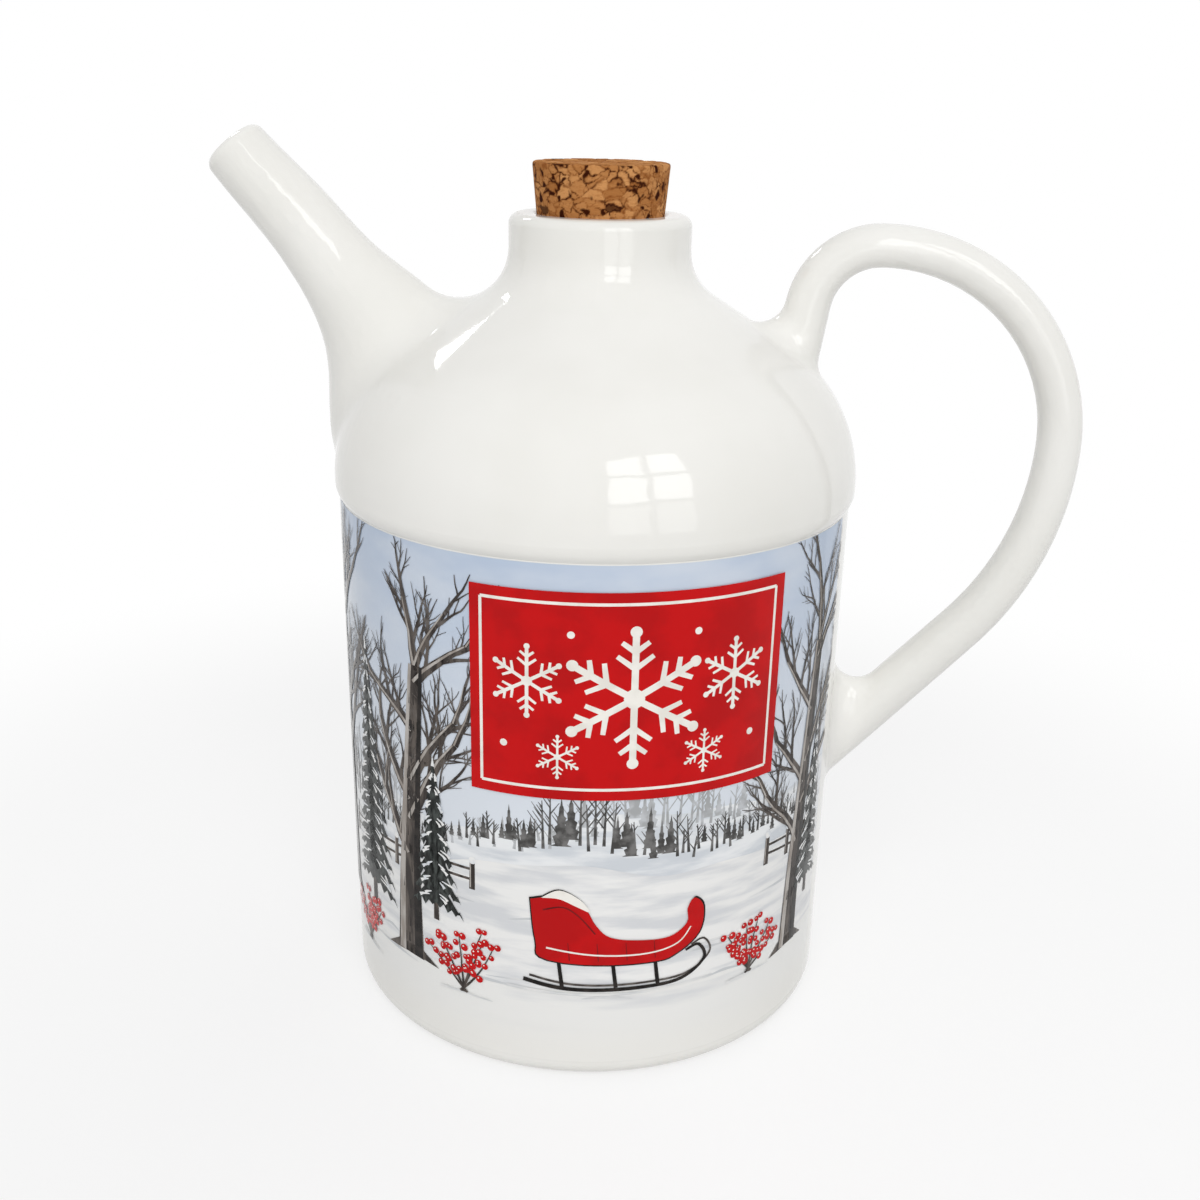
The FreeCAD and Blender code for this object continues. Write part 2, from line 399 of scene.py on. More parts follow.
@dataclass
class GlazedJug:
    """The fired jug: body, neck, spout and handle in one piece."""

    merge: float = 0.002 * MM
    crease: float = math.radians(28.0)
    finish: GlazeFinish = field(default_factory=GlazeFinish)

    def build(self) -> bpy.types.Object:
        """Merge a copy's corners, clean its shading and glaze it.

        Returns:
            The jug's piece.
        """
        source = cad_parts["jug"]
        piece = bpy.data.objects.new("jug_glazed", source.data.copy())
        bpy.context.scene.collection.objects.link(piece)
        pick(piece)
        bpy.ops.mesh.customdata_custom_splitnormals_clear()
        bpy.ops.object.mode_set(mode="EDIT")
        bpy.ops.mesh.select_all(action="SELECT")
        bpy.ops.mesh.remove_doubles(threshold=self.merge)
        bpy.ops.object.mode_set(mode="OBJECT")
        bpy.ops.object.shade_smooth_by_angle(angle=self.crease)
        apply_modifier(piece, "WEIGHTED_NORMAL", weight=60, keep_sharp=True)
        piece.data.materials.clear()
        piece.data.materials.append(self.finish.material())
        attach(piece, "root")
        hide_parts("jug")
        return piece


# --- cork --------------------------------------------------------------------

@dataclass
class CorkStopper:
    """The tapered stopper, pressed from cork granules."""

    taper: float = 0.09
    inset: float = 0.02 * MM
    edge: float = 0.5 * MM
    voxel: float = 0.17 * MM
    spacing: float = 1.55 * MM
    squash: float = 1.45
    groove: float = 0.3 * MM
    bark_share: float = 0.04
    crease: float = math.radians(60.0)
    seed: int = 7
    finish: CorkFinish = field(default_factory=CorkFinish)

    def build(self) -> bpy.types.Object:
        """Model the stopper with its granules in relief.

        Returns:
            The cork's piece.
        """
        piece = self.cone()
        apply_modifier(piece, "REMESH", mode="VOXEL", voxel_size=self.voxel)
        self.press_granules(piece)
        bpy.ops.object.shade_smooth_by_angle(angle=self.crease)
        piece.data.materials.append(self.finish.material())
        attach(piece, "root")
        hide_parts("cork")
        return piece

    def cone(self) -> bpy.types.Object:
        """Model the plain tapered stopper with rounded rims.

        Returns:
            The stopper.
        """
        low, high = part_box("cork")
        top_radius = (high.x - low.x) / 2
        length = high.z - low.z
        middle = (low.z + high.z) / 2
        deselect()
        bpy.ops.mesh.primitive_cylinder_add(vertices=192, radius=top_radius - self.inset, depth=length,
                                            location=(0.0, 0.0, middle))
        piece = bpy.context.object
        piece.name = "cork_stopper"
        bpy.ops.object.transform_apply(location=True, rotation=False, scale=False)
        bpy.ops.object.mode_set(mode="EDIT")
        bpy.ops.mesh.select_all(action="DESELECT")
        bpy.ops.object.mode_set(mode="OBJECT")
        for vertex in piece.data.vertices:
            vertex.select = vertex.co.z < middle
        bpy.ops.object.mode_set(mode="EDIT")
        shrink = 1.0 - self.taper * length / top_radius
        bpy.ops.transform.resize(value=(shrink, shrink, 1.0), center_override=(0.0, 0.0, low.z))
        bpy.ops.object.mode_set(mode="OBJECT")
        for edge in piece.data.edges:
            first, second = (piece.data.vertices[i].co for i in edge.vertices)
            edge.select = abs(first.z - second.z) < 0.001 * MM
        bpy.ops.object.mode_set(mode="EDIT")
        bpy.ops.mesh.select_mode(type="EDGE")
        bpy.ops.mesh.bevel(offset=self.edge, segments=3, affect="EDGES")
        bpy.ops.mesh.select_mode(type="VERT")
        bpy.ops.object.mode_set(mode="OBJECT")
        return piece

    def scatter(self, low: np.ndarray, high: np.ndarray) -> tuple[KDTree, list[Point]]:
        """Scatter the granules' middles in a box, in a space that flattens them.

        Args:
            low: the box's lowest corner.
            high: its highest corner.

        Returns:
            The middles, and each granule's tone and whether it is bark.
        """
        rng = random.Random(self.seed)
        count = int(np.prod(high - low) / self.spacing ** 3)
        tree = KDTree(count)
        tones = []
        for index in range(count):
            spot = [rng.uniform(a, b) for a, b in zip(low, high)]
            spot[2] *= self.squash
            tree.insert(spot, index)
            tones.append((rng.random(), 1.0 if rng.random() < self.bark_share else 0.0))
        tree.balance()
        return tree, tones

    def grain(self, place: Vector, tree: KDTree, tones: list[Point]) -> tuple[float, float, float, float]:
        """Work out the cork's look at one place on its surface.

        Args:
            place: the place.
            tree: the granules' middles.
            tones: each granule's tone and whether it is bark.

        Returns:
            The granule's tone, the joint, the bark and how far the surface sinks, from 0 to 1.
        """
        bend = noise.noise_vector(place * 520.0) * 0.75 * MM + noise.noise_vector(place * 1700.0) * 0.25 * MM
        spot = place + bend
        spot.z *= self.squash
        (_, nearest, near), (_, _, next_near) = tree.find_n(spot, 2)
        gap = next_near - near
        tone, bark = tones[nearest]
        opening = noise.noise(place * 420.0 + Vector((5.0, 1.0, 3.0)))
        reach = (0.13 + 0.3 * max(0.0, opening)) * MM
        joint = max(0.0, 1.0 - gap / (2.2 * reach))
        crack = max(0.0, 1.0 - gap / reach) * min(1.0, max(0.0, 0.45 + 2.2 * opening))
        curl = abs(noise.noise(spot * 560.0 + Vector((9.0, 2.0, 7.0)) * (1.0 + nearest % 7)))
        fold = max(0.0, 1.0 - curl / 0.05) * (1.0 if tone > 0.35 else 0.3)
        pit = min(1.0, max(0.0, noise.noise(place * 900.0 + Vector((1.0, 8.0, 4.0))) - 0.42) * 9.0)
        return (tone, min(1.0, 0.75 * joint + 0.8 * fold), min(1.0, 0.85 * bark + 1.5 * crack + pit),
                min(1.0, 0.35 * joint + 0.9 * crack + 0.5 * fold + pit))

    def inward(self, points: np.ndarray) -> np.ndarray:
        """Work out which way the surface sinks.

        Args:
            points: rows of x, y, z on the stopper.

        Returns:
            Rows of directions: square to the two flats, and level everywhere else.
        """
        low = points[:, 2].min()
        high = points[:, 2].max()
        axis = points.copy()
        axis[:, 2] = np.clip(points[:, 2], low + 4 * MM, high - 4 * MM)
        way = axis - points
        side = np.abs(way[:, 2]) < 1e-9
        radial = way / np.maximum(np.linalg.norm(way, axis=1, keepdims=True), 1e-9)
        cap = np.zeros_like(points)
        cap[:, 2] = np.sign(way[:, 2])
        flat = (points[:, 2] > high - 0.1 * MM) | (points[:, 2] < low + 0.1 * MM)
        return np.where(flat[:, None], cap, np.where(side[:, None], radial, radial * [1, 1, 0]))

    def press_granules(self, piece: bpy.types.Object) -> None:
        """Sink the joints between granules and write each granule's tone.

        Args:
            piece: the evenly meshed stopper.
        """
        noise.seed_set(self.seed)
        points = positions(piece)
        tree, tones = self.scatter(points.min(axis=0), points.max(axis=0))
        looks = np.array([self.grain(Vector(point), tree, tones) for point in points])
        set_positions(piece, points + self.inward(points) * (looks[:, 3] * self.groove)[:, None])
        for column, name in enumerate(("granule", "joint", "bark")):
            attribute = piece.data.attributes.new(name, "FLOAT", "POINT")
            attribute.data.foreach_set("value", np.ascontiguousarray(looks[:, column]))


# --- print -------------------------------------------------------------------

@dataclass
class BodyWrap:
    """The jug's straight side, which the print lies on.

    A place on the print is u, the distance round the side from the middle of the
    front, and z, the height, both in millimetres.
    """

    foot_radius: float = 40.0
    draft: float = 0.4
    height: float = 84.0
    front: float = math.radians(-86.0)
    step: float = 1.0

    def on_side(self, flat: np.ndarray) -> np.ndarray:
        """Return places on the side.

        Args:
            flat: rows of u, lift above the glaze and z, in millimetres.

        Returns:
            Rows of x, y, z in metres.
        """
        radius = self.foot_radius + self.draft * flat[:, 2] / self.height
        turn = self.front + flat[:, 0] / (self.foot_radius + self.draft / 2)
        reach = radius + flat[:, 1]
        return np.stack([reach * np.cos(turn), reach * np.sin(turn), flat[:, 2]], axis=1) * MM

    def outward(self, places: np.ndarray) -> np.ndarray:
        """Return the side's outward normals.

        Args:
            places: rows of x, y, z on the side.

        Returns:
            A unit normal for each row.
        """
        way = places.copy()
        reach = np.linalg.norm(way[:, :2], axis=1)
        way[:, 2] = -reach * self.draft / self.height
        return way / np.linalg.norm(way, axis=1, keepdims=True)


class Lift(Enum):
    """The print's layers, each with its lift above the glaze in millimetres."""

    WASH = 0.02
    WOODS = 0.035
    HILLS = 0.065
    TREES = 0.13
    FOREGROUND = 0.185
    LABEL = 0.24


@dataclass
class PrintLayer:
    """One layer of the print: outlines in a few inks, each laid over the last."""

    lift: Lift
    wrap: BodyWrap
    left: float
    right: float
    low: float = 0.5
    high: float = 83.8
    spread: float = 0.008
    shapes: list = field(default_factory=list)

    def draw(self, outline: Outline, ink: Ink, level: float = 0.0) -> None:
        """Add a filled outline to the layer.

        Args:
            outline: its places u, z.
            ink: its colour.
            level: how many inks it lies over within the layer.
        """
        self.shapes.append((outline, ink, level))

    def build(self) -> bpy.types.Object:
        """Lay the outlines on the side as one piece.

        Returns:
            The layer's piece.
        """
        inks = sorted({ink for _, ink, _ in self.shapes}, key=lambda ink: ink.name)
        points = []
        faces = []
        for outline, _, level in self.shapes:
            depth = self.lift.value + self.spread * level
            first = len(points)
            points += [(u, depth, z) for u, z in outline]
            faces.append(list(range(first, len(points))))
        piece = add_mesh("print_" + self.lift.name.lower(), points, faces)
        for ink in inks:
            piece.data.materials.append(ink_material(ink))
        slots = [inks.index(ink) for _, ink, _ in self.shapes]
        piece.data.polygons.foreach_set("material_index", slots)
        self.trim(piece)
        self.curve(piece)
        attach(piece, "root")
        return piece

    def trim(self, piece: bpy.types.Object) -> None:
        """Cut the flat art off on all four sides, and into upright strips.

        Args:
            piece: the flat art.
        """
        pick(piece)
        bpy.ops.object.mode_set(mode="EDIT")
        for corner, way in (((0, 0, self.high), (0, 0, 1)), ((0, 0, self.low), (0, 0, -1)),
                            ((self.right, 0, 0), (1, 0, 0)), ((self.left, 0, 0), (-1, 0, 0))):
            bpy.ops.mesh.select_all(action="SELECT")
            bpy.ops.mesh.bisect(plane_co=corner, plane_no=way, clear_outer=True)
        spans = [u for outline, _, _ in self.shapes for u, _ in outline]
        edge = math.ceil(min(spans) / self.wrap.step) * self.wrap.step
        while edge < max(spans):
            bpy.ops.mesh.select_all(action="SELECT")
            bpy.ops.mesh.bisect(plane_co=(edge, 0, 0), plane_no=(1, 0, 0))
            edge += self.wrap.step
        bpy.ops.mesh.select_all(action="SELECT")
        bpy.ops.mesh.quads_convert_to_tris(quad_method="BEAUTY", ngon_method="BEAUTY")
        bpy.ops.object.mode_set(mode="OBJECT")

    def curve(self, piece: bpy.types.Object) -> None:
        """Wrap flat art round the side, with the side's own normals.

        Args:
            piece: the trimmed art.
        """
        places = self.wrap.on_side(positions(piece))
        set_positions(piece, places)
        normals = self.wrap.outward(places)
        turned = np.array([polygon.normal for polygon in piece.data.polygons])
        firsts = [polygon.vertices[0] for polygon in piece.data.polygons]
        wrong = (turned * normals[firsts]).sum(axis=1) < 0
        pick(piece)
        for polygon, flip in zip(piece.data.polygons, wrong):
            if flip:
                polygon.flip()
        piece.data.update()
        piece.data.polygons.foreach_set("use_smooth", [True] * len(piece.data.polygons))
        piece.data.normals_split_custom_set_from_vertices(normals.tolist())


INK_MATERIALS: dict[Ink, bpy.types.Material] = {}


def ink_material(ink: Ink) -> bpy.types.Material:
    """Make an ink's material once, for every layer to share.

    Args:
        ink: the ink.

    Returns:
        Its material.
    """
    if ink not in INK_MATERIALS:
        INK_MATERIALS[ink] = ink.value.material()
    return INK_MATERIALS[ink]


def stroke(path: Outline, wide: float, thin: float) -> Outline:
    """Return the outline of a brush stroke that narrows along its path.

    Args:
        path: the places that it runs through.
        wide: its width at the start, in millimetres.
        thin: its width at the end.

    Returns:
        The closed outline.
    """
    left = []
    right = []
    last = len(path) - 1
    for index, (u, z) in enumerate(path):
        before = path[max(0, index - 1)]
        after = path[min(last, index + 1)]
        du, dz = after[0] - before[0], after[1] - before[1]
        size = math.hypot(du, dz) or 1.0
        half = (wide + (thin - wide) * index / last) / 2
        left.append((u - dz / size * half, z + du / size * half))
        right.append((u + dz / size * half, z - du / size * half))
    return left + right[::-1]


def disc(u: float, z: float, radius: float, sides: int = 12) -> Outline:
    """Return a round outline about a place."""
    turns = [2 * math.pi * i / sides for i in range(sides)]
    return [(u + radius * math.cos(a), z + radius * math.sin(a)) for a in turns]


def smooth(knots: Outline, parts: int = 6) -> Outline:
    """Return a Catmull-Rom curve through a few places.

    Args:
        knots: the places.
        parts: the pieces between two of them.

    Returns:
        The places along the curve.
    """
    padded = [knots[0], *knots, knots[-1]]
    made = []
    for a, b, c, d in zip(padded, padded[1:], padded[2:], padded[3:]):
        for i in range(parts):
            t = i / parts
            made.append(tuple(
                0.5 * (2 * b[k] + (c[k] - a[k]) * t + (2 * a[k] - 5 * b[k] + 4 * c[k] - d[k]) * t * t
                       + (3 * b[k] - a[k] - 3 * c[k] + d[k]) * t ** 3) for k in (0, 1)))
    made.append(knots[-1])
    return made


def crest(u: float, phase: float) -> float:
    """Return the rise of a rolling hill's top at a place round the side."""
    return (1.9 * math.sin(u / 17.0 + phase) + 1.1 * math.sin(u / 7.3 + 2.1 * phase)
            + 0.4 * math.sin(u / 3.1 + phase))


@dataclass
class Brush:
    """Draws the picture's motifs on one layer, at places u and z in millimetres."""

    layer: PrintLayer
    rng: random.Random

    def fill(self, outline: Outline, ink: Ink, level: float = 0.0) -> None:
        """Fill an outline with an ink, at a level within the layer."""
        self.layer.draw(outline, ink, level)

    def line(self, path: Outline, wide: float, thin: float, ink: Ink, level: float = 0.0) -> None:
        """Brush a line that narrows along its path."""
        self.layer.draw(stroke(path, wide, thin), ink, level)

    def hill(self, base: float, foot: float, phase: float, ink: Ink) -> None:
        """Draw a band of rolling hills right round the side.

        Args:
            base: the mean height of the hilltops.
            foot: the height of the band's lower edge.
            phase: where the hills stand.
            ink: the snow's ink.
        """
        left, right = self.layer.left, self.layer.right
        top = [(u, base + crest(u, phase)) for u in np.linspace(left, right, 220)]
        self.fill([(right, foot), (left, foot), *top][::-1], ink)

    def small_fir(self, u: float, z: float, tall: float, ink: Ink, level: int) -> None:
        """Draw a far fir as one jagged outline.

        Args:
            u: where it stands.
            z: the height of its foot.
            tall: its height.
            ink: its ink.
            level: its level within the layer.
        """
        wide = tall * self.rng.uniform(0.3, 0.42)
        tiers = 5
        side = []
        for index in range(tiers):
            share = index / tiers
            side.append((wide / 2 * (1 - share), z + tall * (0.1 + 0.9 * share)))
            side.append((wide / 2 * (1 - share) * 0.55, z + tall * (0.14 + 0.9 * share)))
        outline = [(u + w, h) for w, h in side] + [(u, z + tall)] + [(u - w, h) for w, h in side[::-1]]
        self.fill(outline, ink, level)

    def small_tree(self, u: float, z: float, tall: float, ink: Ink, level: int) -> None:
        """Draw a far bare tree as a thin trunk with a few twigs.

        Args:
            u: where it stands.
            z: the height of its foot.
            tall: its height.
            ink: its ink.
            level: its level within the layer.
        """
        lean = self.rng.uniform(-0.5, 0.5)
        self.line([(u, z), (u + lean, z + tall)], 0.5, 0.12, ink, level)
        for share in (0.35, 0.5, 0.62, 0.75, 0.86):
            way = self.rng.choice((-1, 1))
            reach = tall * (1 - share) * self.rng.uniform(0.5, 0.8)
            start = (u + lean * share, z + tall * share)
            end = (start[0] + way * reach * 0.7, start[1] + reach)
            self.line([start, end], 0.24, 0.08, ink, level)

    def fence(self, start: float, end: float, base: float) -> None:
        """Draw a rail fence along the slope of the near hill.

        Args:
            start: where the fence starts.
            end: where it ends.
            base: the height of its foot.
        """
        between_posts = 5.2
        posts = np.arange(start, end, between_posts)
        feet = [(float(u), base + 0.5 * crest(float(u), 2.2)) for u in posts]
        for rise in (1.5, 3.1):
            rails = [(u, z + rise + self.rng.uniform(-0.15, 0.15)) for u, z in feet]
            for first, second in zip(rails, rails[1:]):
                self.line([first, second], 0.55, 0.45, Ink.BARK, 2)
                above = [(u, z + 0.32) for u, z in (first, second)]
                self.line(above, 0.22, 0.22, Ink.SNOW, 3)
        for u, z in feet:
            tall = self.rng.uniform(4.3, 4.9)
            self.line([(u, z - 0.3), (u + 0.1, z + tall)], 1.0, 0.85, Ink.BARK, 4)
            self.line([(u - 0.28, z), (u - 0.2, z + tall)], 0.22, 0.18, Ink.BARK_LIGHT, 5)
            self.fill(disc(u + 0.1, z + tall + 0.1, 0.62, 10), Ink.SNOW, 6)

    def branch(self, start: Point, way: float, size: float, wide: float, depth: int) -> None:
        """Draw a bare branch and the smaller ones that grow from it.

        Args:
            start: where it grows from.
            way: its direction, in radians from the horizontal.
            size: its length, in millimetres.
            wide: its width at the root.
            depth: how many times it still divides.
        """
        rng = self.rng
        steps = 4
        path = [start]
        turn = way
        for _ in range(steps):
            turn += rng.uniform(-0.16, 0.16)
            u, z = path[-1]
            path.append((u + size / steps * math.cos(turn), z + size / steps * math.sin(turn)))
        self.line(path, wide, wide * 0.45, Ink.BARK if wide > 0.7 else Ink.TWIG)
        if wide > 0.9:
            light = [(u - wide * 0.22, z) for u, z in path]
            self.line(light, wide * 0.3, wide * 0.12, Ink.BARK_LIGHT, 1)
        if depth == 0:
            return
        for share in ((0.35, 0.6, 0.8, 1.0) if depth > 1 else (0.5, 0.8, 1.0)):
            at = path[min(steps, max(1, round(share * steps)))]
            side = rng.choice((-1, 1)) if share < 1.0 else rng.uniform(-0.3, 0.3)
            spread = turn + side * rng.uniform(0.45, 0.8)
            lean = spread + (math.pi / 2 - spread) * 0.22
            grown = size * rng.uniform(0.5, 0.68) * (1.1 - 0.3 * share)
            self.branch(at, lean, grown, wide * (0.42 if share < 1.0 else 0.5), depth - 1)

    def bare_tree(self, u: float, foot: float, tall: float, wide: float, lean: float) -> None:
        """Draw a large bare tree.

        Args:
            u: where it stands.
            foot: the height of its foot.
            tall: its trunk's length.
            wide: its trunk's width at the foot.
            lean: how far its top leans to the right.
        """
        knots = [(u, foot), (u + lean * 0.15, foot + tall * 0.3), (u + lean * 0.5, foot + tall * 0.62),
                 (u + lean, foot + tall)]
        path = smooth(knots, 5)
        flare = [(u - wide * 0.95, foot - 0.5), (u - wide * 0.45, foot + 1.6), (u + wide * 0.45, foot + 1.8),
                 (u + wide * 1.0, foot - 0.3), (u + wide * 0.3, foot + 0.25), (u - wide * 0.3, foot - 0.1)]
        self.fill(flare, Ink.BARK)
        self.line(path, wide, wide * 0.3, Ink.BARK)
        self.fill(disc(*path[-1], wide * 0.15), Ink.BARK)
        light = [(a - wide * (0.32 - 0.15 * i / len(path)), z) for i, (a, z) in enumerate(path)]
        self.line(light, wide * 0.24, wide * 0.1, Ink.BARK_LIGHT, 1)
        shade = [(a + wide * (0.31 - 0.15 * i / len(path)), z) for i, (a, z) in enumerate(path)]
        self.line(shade, wide * 0.3, wide * 0.1, Ink.LINE, 1)
        for _ in range(int(tall)):
            share = self.rng.random()
            a, z = path[int(share * (len(path) - 1))]
            shift = self.rng.uniform(-0.3, 0.34) * wide * (1 - 0.5 * share)
            self.line([(a + shift, z), (a + shift * 0.9, z + 1.7)], 0.16, 0.05, Ink.LINE, 2)
        for index, share in enumerate((0.38, 0.5, 0.6, 0.7, 0.8, 0.9, 1.0)):
            at = path[round(share * (len(path) - 1))]
            side = (-1 if index % 2 else 1) * self.rng.uniform(0.5, 0.85)
            way = math.pi / 2 + (side if share < 1.0 else side * 0.2)
            self.branch(at, way, tall * self.rng.uniform(0.26, 0.36) * (1.25 - 0.5 * share),
                        wide * (0.4 - 0.12 * share), 3)
        self.branch(path[-1], math.pi / 2 - 0.35, tall * 0.22, wide * 0.22, 2)

    def fir(self, u: float, foot: float, tall: float, wide: float) -> None:
        """Draw a near fir with snow on its boughs.

        Args:
            u: where it stands.
            foot: the height of its foot.
            tall: its height.
            wide: its width across the lowest boughs.
        """
        rng = self.rng
        self.line([(u, foot - 0.4), (u, foot + tall * 0.2)], wide * 0.1, wide * 0.07, Ink.BARK, 3)
        tiers = max(5, int(tall / 2.9))
        teeth = 7
        for index in range(tiers):
            share = index / tiers
            base = foot + tall * (0.08 + 0.86 * share)
            top = min(foot + tall, base + tall * 0.9 / tiers * 2.1)
            half = wide / 2 * (1 - share) ** 0.85
            lower = []
            for tooth in range(teeth + 1):
                across = -half + 2 * half * tooth / teeth
                drop = -0.22 * abs(across) + rng.uniform(-0.15, 0.1)
                lower.append((u + across, base + drop))
                if tooth < teeth:
                    between = across + half / teeth
                    lower.append((u + between, base + 0.5 + 0.35 * rng.random() - 0.12 * abs(between)))
            self.fill([(u, top), *lower], Ink.NEEDLES, 4)
            for side in (-1, 1):
                for run in range(2):
                    reach = half * rng.uniform(0.35, 0.86) * side
                    inner = reach * rng.uniform(0.3, 0.5)
                    z = base + (top - base) * (0.34 - 0.1 * run) - 0.1 * abs(reach)
                    path = [(u + inner, z + 0.5), (u + reach * 0.8, z + 0.1), (u + reach, z - 0.3)]
                    self.line(path, 0.16, 0.6, Ink.SNOW, 5)
        cap = foot + tall * 0.955
        self.fill([(u - 0.35, cap), (u + 0.35, cap), (u, foot + tall + 0.5)], Ink.SNOW, 5)

    def berry_bush(self, u: float, foot: float, tall: float) -> None:
        """Draw a bush of thin stems with red winter berries.

        Args:
            u: where it stands.
            foot: the height of its foot.
            tall: its height.
        """
        rng = self.rng
        steps = 5
        berries = []
        for place in range(-3, 4):
            way = math.pi / 2 + place * 0.26 + rng.uniform(-0.08, 0.08)
            size = tall * rng.uniform(0.75, 1.0)
            path = [(u + place * 0.22, foot)]
            for _ in range(steps):
                way += rng.uniform(-0.12, 0.12)
                a, z = path[-1]
                path.append((a + size / steps * math.cos(way), z + size / steps * math.sin(way)))
            self.line(path, 0.42, 0.16, Ink.BARK, 1)
            for a, z in path[2:]:
                for side in (-1, 1):
                    berries.append((a + side * rng.uniform(0.3, 0.85), z + rng.uniform(-0.3, 0.6)))
        for a, z in berries:
            size = rng.uniform(0.46, 0.66)
            self.fill(disc(a, z, size, 12), Ink.RED, 2)
            self.fill(disc(a - size * 0.3, z + size * 0.32, size * 0.24, 6), Ink.CREAM, 3)

    def sleigh(self, u: float, foot: float, size: float) -> None:
        """Draw an empty red sleigh, seen from the side.

        Args:
            u: the middle of its runners.
            foot: the height that they stand on.
            size: its length, in millimetres.
        """
        def place(knots: Outline) -> Outline:
            """Return places given in shares of the sleigh's length."""
            return [(u + a * size, foot + z * size) for a, z in knots]

        def curve(knots: Outline, parts: int = 5) -> Outline:
            """Return a smooth curve through such places."""
            return smooth(place(knots), parts)

        runner = curve([(-0.5, 0.04), (-0.25, 0.0), (0.15, 0.0), (0.4, 0.02), (0.54, 0.12), (0.5, 0.22),
                        (0.42, 0.2)], 6)
        far = [(a + 0.035 * size, z + 0.03 * size) for a, z in runner]
        self.line(far, 0.4, 0.3, Ink.TWIG)
        for a in (-0.28, 0.02, 0.26):
            self.line(place([(a, 0.01), (a - 0.02, 0.17)]), 0.62, 0.55, Ink.LINE, 1)
        self.line(runner, 0.72, 0.45, Ink.LINE, 1)
        body = curve([(-0.46, 0.56), (-0.43, 0.3), (-0.36, 0.18), (0.2, 0.16), (0.36, 0.19), (0.5, 0.3),
                      (0.52, 0.46), (0.46, 0.53), (0.42, 0.47), (0.42, 0.38), (0.32, 0.31), (0.14, 0.31),
                      (-0.02, 0.34), (-0.1, 0.42), (-0.16, 0.52), (-0.3, 0.59), (-0.46, 0.56)])[:-1]
        rim = [(a + (a - u) * 0.018, z + (z - foot - 0.35 * size) * 0.045) for a, z in body]
        self.fill(rim, Ink.LINE, 2)
        self.fill(body, Ink.RED, 3)
        trim = curve([(-0.37, 0.26), (-0.1, 0.225), (0.2, 0.22), (0.37, 0.26), (0.445, 0.35)])
        self.line(trim, 0.3, 0.22, Ink.CREAM, 5)
        fold = curve([(-0.39, 0.5), (-0.28, 0.525), (-0.19, 0.47), (-0.1, 0.36)])
        self.line(fold, 0.26, 0.2, Ink.RED_DARK, 4)
        seat = curve([(-0.4, 0.575), (-0.3, 0.63), (-0.19, 0.58), (-0.13, 0.5), (-0.2, 0.53),
                      (-0.3, 0.575), (-0.4, 0.575)])[:-1]
        self.fill([(a - 0.15, z + 0.18) for a, z in seat], Ink.LINE, 1.5)
        self.fill(seat, Ink.CREAM, 4)
        for a in (-0.24, -0.08, 0.08, 0.24):
            self.line(place([(a, 0.185), (a - 0.01, 0.3)]), 0.14, 0.1, Ink.RED_DARK, 4)
        shadow = curve([(-0.6, -0.02), (-0.2, -0.035), (0.2, -0.03), (0.6, -0.01)], 4)
        self.line(shadow, 0.5, 0.3, Ink.DRIFT)

    def snowflake(self, u: float, z: float, size: float) -> None:
        """Draw a plain six-armed snowflake.

        Args:
            u: its middle, round the side.
            z: its middle's height.
            size: the length of an arm.
        """
        wide = 0.1 * size
        arms = 6
        for arm in range(arms):
            way = math.pi / 2 + arm * 2 * math.pi / arms
            tip = (u + size * math.cos(way), z + size * math.sin(way))
            self.line([(u, z), tip], wide, wide, Ink.CREAM, 1.0 + 0.25 * arm)
            for share, reach in ((0.45, 0.32), (0.7, 0.24)):
                root = (u + size * share * math.cos(way), z + size * share * math.sin(way))
                for side in (-1, 1):
                    turn = way + side * math.pi / 3.4
                    end = (root[0] + reach * size * math.cos(turn), root[1] + reach * size * math.sin(turn))
                    self.line([root, end], wide * 0.85, wide * 0.7, Ink.CREAM, 0.75)
            self.fill(disc(*tip, wide * 0.85, 14), Ink.CREAM, 3)
        self.fill(disc(u, z, wide * 1.5, 16), Ink.CREAM, 3)


